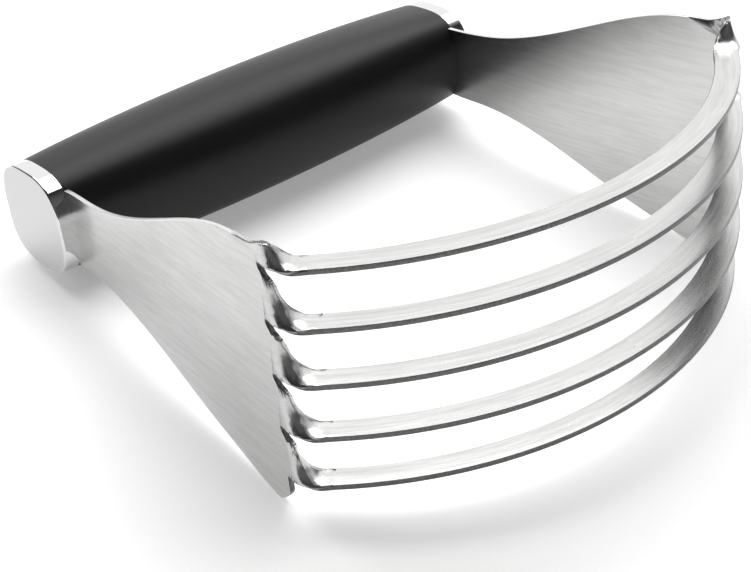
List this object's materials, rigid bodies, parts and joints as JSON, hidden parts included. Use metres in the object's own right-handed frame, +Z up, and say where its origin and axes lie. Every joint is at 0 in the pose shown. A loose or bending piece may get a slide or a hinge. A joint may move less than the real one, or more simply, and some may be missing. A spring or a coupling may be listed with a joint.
{
  "type": "pastry blender",
  "caption": "Hand tool for cutting fat into flour: a soft barrel grip with metal end caps and a curved stainless blade with parallel tines.",
  "frame": {"origin": "bottom centre of the box round the tool as it lies on its side on a flat surface", "axes": "+X along the handle, +Y from the tines towards the handle, +Z up, away from the surface the tool lies on"},
  "size_m": [0.1204, 0.1322, 0.0555],
  "materials": {
    "blade_steel": "brushed",
    "cap_steel": "polished",
    "grip_rubber": "satin",
    "core_plastic": "matte",
    "carrier_plastic": "matte",
    "screw_steel": "zinc plated"
  },
  "bodies": {
    "root": {"blade": "blade_steel", "grip_sleeve": "grip_rubber", "handle_core": "core_plastic", "end_cap_right": "cap_steel", "end_cap_left": "cap_steel", "cap_carrier_right": "carrier_plastic", "cap_carrier_left": "carrier_plastic", "fixing_screws": "screw_steel", "lock_washers": "screw_steel"}
  },
  "joints": []
}
